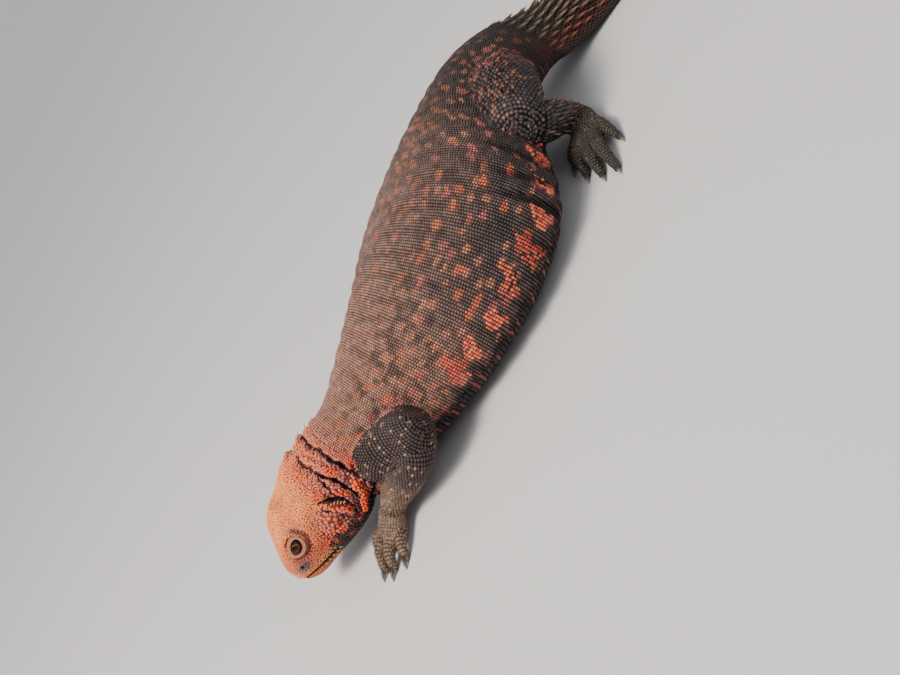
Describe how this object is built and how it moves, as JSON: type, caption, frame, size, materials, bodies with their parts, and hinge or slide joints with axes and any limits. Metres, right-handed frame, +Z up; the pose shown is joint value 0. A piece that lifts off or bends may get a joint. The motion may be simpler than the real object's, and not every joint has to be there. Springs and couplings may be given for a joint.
{
  "type": "spiny-tailed lizard model",
  "caption": "Life-size still model of a spiny-tailed lizard lying with its belly on the floor, head low, one forefoot ahead and the thick spiny tail laid out behind.",
  "frame": {"origin": "on the floor, under the middle of the model's bounding box", "axes": "+Z up, the head towards -X, the tail towards +X, the left flank towards -Y"},
  "size_m": [0.3624, 0.1644, 0.0558],
  "materials": {
    "head_skin": "matte scales",
    "body_skin": "matte scales",
    "tail_skin": "matte scales and spines",
    "limb_skin": "matte scales",
    "eye": "wet gloss"
  },
  "bodies": {
    "root": {"head": "head_skin", "eye_left": "eye", "eye_right": "eye", "neck": "head_skin", "torso": "body_skin", "tail_1": "tail_skin", "tail_2": "tail_skin", "tail_3": "tail_skin", "tail_4": "tail_skin", "upper_arm_left": "limb_skin", "forearm_left": "limb_skin", "hand_left": "limb_skin", "upper_arm_right": "limb_skin", "forearm_right": "limb_skin", "hand_right": "limb_skin", "thigh_left": "limb_skin", "shank_left": "limb_skin", "foot_left": "limb_skin", "thigh_right": "limb_skin", "shank_right": "limb_skin", "foot_right": "limb_skin"}
  },
  "joints": []
}
